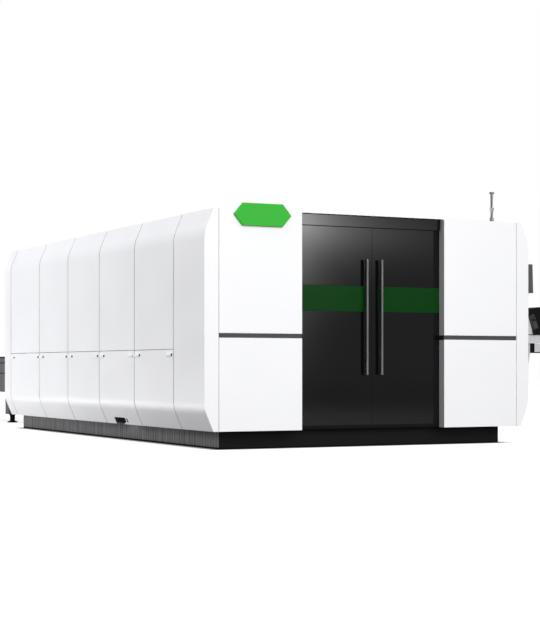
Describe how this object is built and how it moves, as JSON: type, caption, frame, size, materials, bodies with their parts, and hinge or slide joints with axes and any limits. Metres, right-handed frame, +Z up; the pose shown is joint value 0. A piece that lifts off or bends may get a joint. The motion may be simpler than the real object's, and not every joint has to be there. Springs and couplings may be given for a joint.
{
  "type": "fiber laser cutting machine",
  "caption": "Fully enclosed sheet metal laser cutter with sliding glazed doors, side service flaps, a gantry head, two shuttle pallets and an operator console.",
  "frame": {"origin": "on the floor under the middle levelling foot of the bed, in the middle plane of the machine", "axes": "+X to the right seen from the doors, +Y from the doors to the exchange table, +Z up"},
  "size_m": [4.5109, 10.916, 2.64],
  "materials": {
    "white_sheet": "smooth white powder coat",
    "trim_grey": "satin dark grey",
    "door_black": "high gloss black",
    "window_green": "dark green laser safety glazing",
    "handle_dark": "gloss dark tube",
    "sign_green": "satin green",
    "plinth_grey": "ribbed dark sheet",
    "frame_paint": "dark grey machine paint",
    "pallet_paint": "dark grey paint",
    "raw_steel": "bare sheet steel",
    "black_steel": "black oxide",
    "gantry_alu": "machined",
    "axis_black": "matt black",
    "head_silver": "satin anodised",
    "door_grey": "light grey paint",
    "mast_grey": "polished tube",
    "console_grey": "light grey paint",
    "console_black": "matt black",
    "monitor_grey": "dark grey housing",
    "handset_grey": "moulded dark grey",
    "stop_red": "red moulding",
    "start_green": "green moulding"
  },
  "bodies": {
    "machine": {"front_casings": "white_sheet", "front_panel_left_upper": "white_sheet", "front_panel_left_lower": "white_sheet", "front_panel_right_upper": "white_sheet", "front_panel_right_lower": "white_sheet", "front_strips": "trim_grey", "door_header": "door_black", "door_track": "raw_steel", "door_threshold": "black_steel", "left_upper_panels": "white_sheet", "flap_hinges": "raw_steel", "side_frames": "frame_paint", "right_upper_panels": "white_sheet", "right_lower_panels": "white_sheet", "roof_panels": "white_sheet", "roof_beams": "frame_paint", "duct_collar": "raw_steel", "rear_casings": "white_sheet", "rear_panels": "white_sheet", "sign_plate": "sign_green", "signal_mast": "mast_grey", "skirt": "plinth_grey", "bed_girders": "frame_paint", "bed_cross_beams": "frame_paint", "levelling_feet": "black_steel", "slag_bins": "raw_steel", "front_portals": "frame_paint", "table_sides": "frame_paint", "table_cross_beams": "frame_paint", "table_guides": "black_steel", "table_drive": "black_steel", "console_arm": "console_grey", "console_desk": "console_black", "keyboard_housing": "console_black", "monitor_bracket": "monitor_grey", "handset": "handset_grey"},
    "door_left": {"door_leaf_left": "door_black", "door_window_left": "window_green", "door_handle_left": "handle_dark"},
    "door_right": {"door_leaf_right": "door_black", "door_window_right": "window_green", "door_handle_right": "handle_dark"},
    "flap_1": {"service_flap_1": "white_sheet"},
    "flap_2": {"service_flap_2": "white_sheet"},
    "flap_3": {"service_flap_3": "white_sheet"},
    "flap_4": {"service_flap_4": "white_sheet"},
    "flap_5": {"service_flap_5": "white_sheet"},
    "gantry": {"gantry_beam": "gantry_alu", "gantry_trucks": "gantry_alu"},
    "carriage": {"carriage": "axis_black"},
    "head": {"cutting_head": "head_silver"},
    "upper_pallet": {"upper_pallet_frame": "pallet_paint", "upper_slats": "raw_steel"},
    "lower_pallet": {"lower_pallet_frame": "pallet_paint", "lower_slats": "raw_steel"},
    "lift_door": {"rear_door": "door_grey"},
    "tray": {"keyboard_tray": "console_grey"},
    "screen": {"monitor": "monitor_grey"},
    "estop": {"estop_button": "stop_red"},
    "start": {"start_button": "start_green"}
  },
  "joints": [
    {"name": "door_left_slide", "type": "slide", "parent": "machine", "child": "door_left", "axis": [-1, 0, 0], "range_m": [0, 0.66]},
    {"name": "door_right_slide", "type": "slide", "parent": "machine", "child": "door_right", "axis": [1, 0, 0], "range_m": [0, 0.66]},
    {"name": "flap_1_drop", "type": "hinge", "parent": "machine", "child": "flap_1", "pos_m": [-1.742, -1.575, 0.196], "axis": [0, -1, 0], "range_deg": [0, 90]},
    {"name": "flap_2_drop", "type": "hinge", "parent": "machine", "child": "flap_2", "pos_m": [-1.742, -0.525, 0.196], "axis": [0, -1, 0], "range_deg": [0, 90]},
    {"name": "flap_3_drop", "type": "hinge", "parent": "machine", "child": "flap_3", "pos_m": [-1.742, 0.525, 0.196], "axis": [0, -1, 0], "range_deg": [0, 90]},
    {"name": "flap_4_drop", "type": "hinge", "parent": "machine", "child": "flap_4", "pos_m": [-1.742, 1.575, 0.196], "axis": [0, -1, 0], "range_deg": [0, 90]},
    {"name": "flap_5_drop", "type": "hinge", "parent": "machine", "child": "flap_5", "pos_m": [-1.742, 2.685, 0.196], "axis": [0, -1, 0], "range_deg": [0, 90]},
    {"name": "gantry_travel", "type": "slide", "parent": "machine", "child": "gantry", "axis": [0, -1, 0], "range_m": [0, 4.3]},
    {"name": "carriage_travel", "type": "slide", "parent": "gantry", "child": "carriage", "axis": [1, 0, 0], "range_m": [-1, 1]},
    {"name": "head_travel", "type": "slide", "parent": "carriage", "child": "head", "axis": [0, 0, -1], "range_m": [0, 0.16]},
    {"name": "upper_pallet_travel", "type": "slide", "parent": "machine", "child": "upper_pallet", "axis": [0, 1, 0], "range_m": [0, 5.76]},
    {"name": "lower_pallet_travel", "type": "slide", "parent": "machine", "child": "lower_pallet", "axis": [0, 1, 0], "range_m": [-5.76, 0]},
    {"name": "lift_door_travel", "type": "slide", "parent": "machine", "child": "lift_door", "axis": [0, 0, 1], "range_m": [0, 0.5]},
    {"name": "tray_slide", "type": "slide", "parent": "machine", "child": "tray", "axis": [1, 0, 0], "range_m": [0, 0.25]},
    {"name": "screen_tilt", "type": "hinge", "parent": "machine", "child": "screen", "pos_m": [2.19, -2.075, 1.74], "axis": [0, 1, 0], "range_deg": [-15, 5]},
    {"name": "estop_press", "type": "slide", "parent": "machine", "child": "estop", "axis": [-0.5989, 0, -0.8008], "range_m": [0, 0.006], "stiffness_N_per_m": 1500},
    {"name": "start_press", "type": "slide", "parent": "machine", "child": "start", "axis": [-0.5989, 0, -0.8008], "range_m": [0, 0.006], "stiffness_N_per_m": 800}
  ],
  "couplings": [
    {"joint": "lower_pallet_travel", "follows": "upper_pallet_travel", "ratio": -1}
  ]
}
